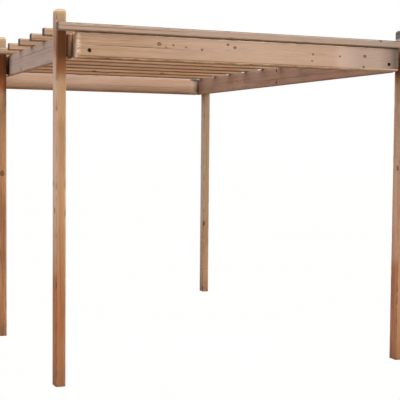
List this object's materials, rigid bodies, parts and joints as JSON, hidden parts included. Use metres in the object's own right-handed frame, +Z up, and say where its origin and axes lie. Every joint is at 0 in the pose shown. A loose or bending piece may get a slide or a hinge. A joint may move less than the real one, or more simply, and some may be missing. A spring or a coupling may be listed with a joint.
{
  "type": "wooden pergola",
  "caption": "Free-standing timber pergola: squared posts carry side, front and rear beams, with slats laid across the top, open on every side.",
  "frame": {"origin": "on the ground, at the centre of the plan outline", "axes": "+X along the front to the right, +Y from the front to the rear, +Z up"},
  "size_m": [2.7, 4.265, 2.5],
  "materials": {
    "post_timber": "planed softwood, tan going orange-brown, weathered towards the feet",
    "beam_timber": "planed softwood, pale tan, fine grain",
    "block_timber": "planed softwood, shaded brown",
    "slat_timber": "planed softwood, tan with dark sawn ends"
  },
  "bodies": {
    "root": {"post_front_left": "post_timber", "post_middle_left": "post_timber", "post_rear_left": "post_timber", "post_front_right": "post_timber", "post_rear_right": "post_timber", "side_beam_left": "beam_timber", "side_beam_right": "beam_timber", "front_beam": "beam_timber", "rear_beam": "beam_timber", "packer_front_left": "block_timber", "packer_middle_left": "block_timber", "packer_rear_left": "block_timber", "packer_front_right": "block_timber", "packer_rear_right": "block_timber", "corner_block_left": "block_timber", "corner_block_right": "block_timber", "slat_01": "slat_timber", "slat_02": "slat_timber", "slat_03": "slat_timber", "slat_04": "slat_timber", "slat_05": "slat_timber", "slat_06": "slat_timber", "slat_07": "slat_timber", "slat_08": "slat_timber", "slat_09": "slat_timber", "slat_10": "slat_timber", "slat_11": "slat_timber"}
  },
  "joints": []
}
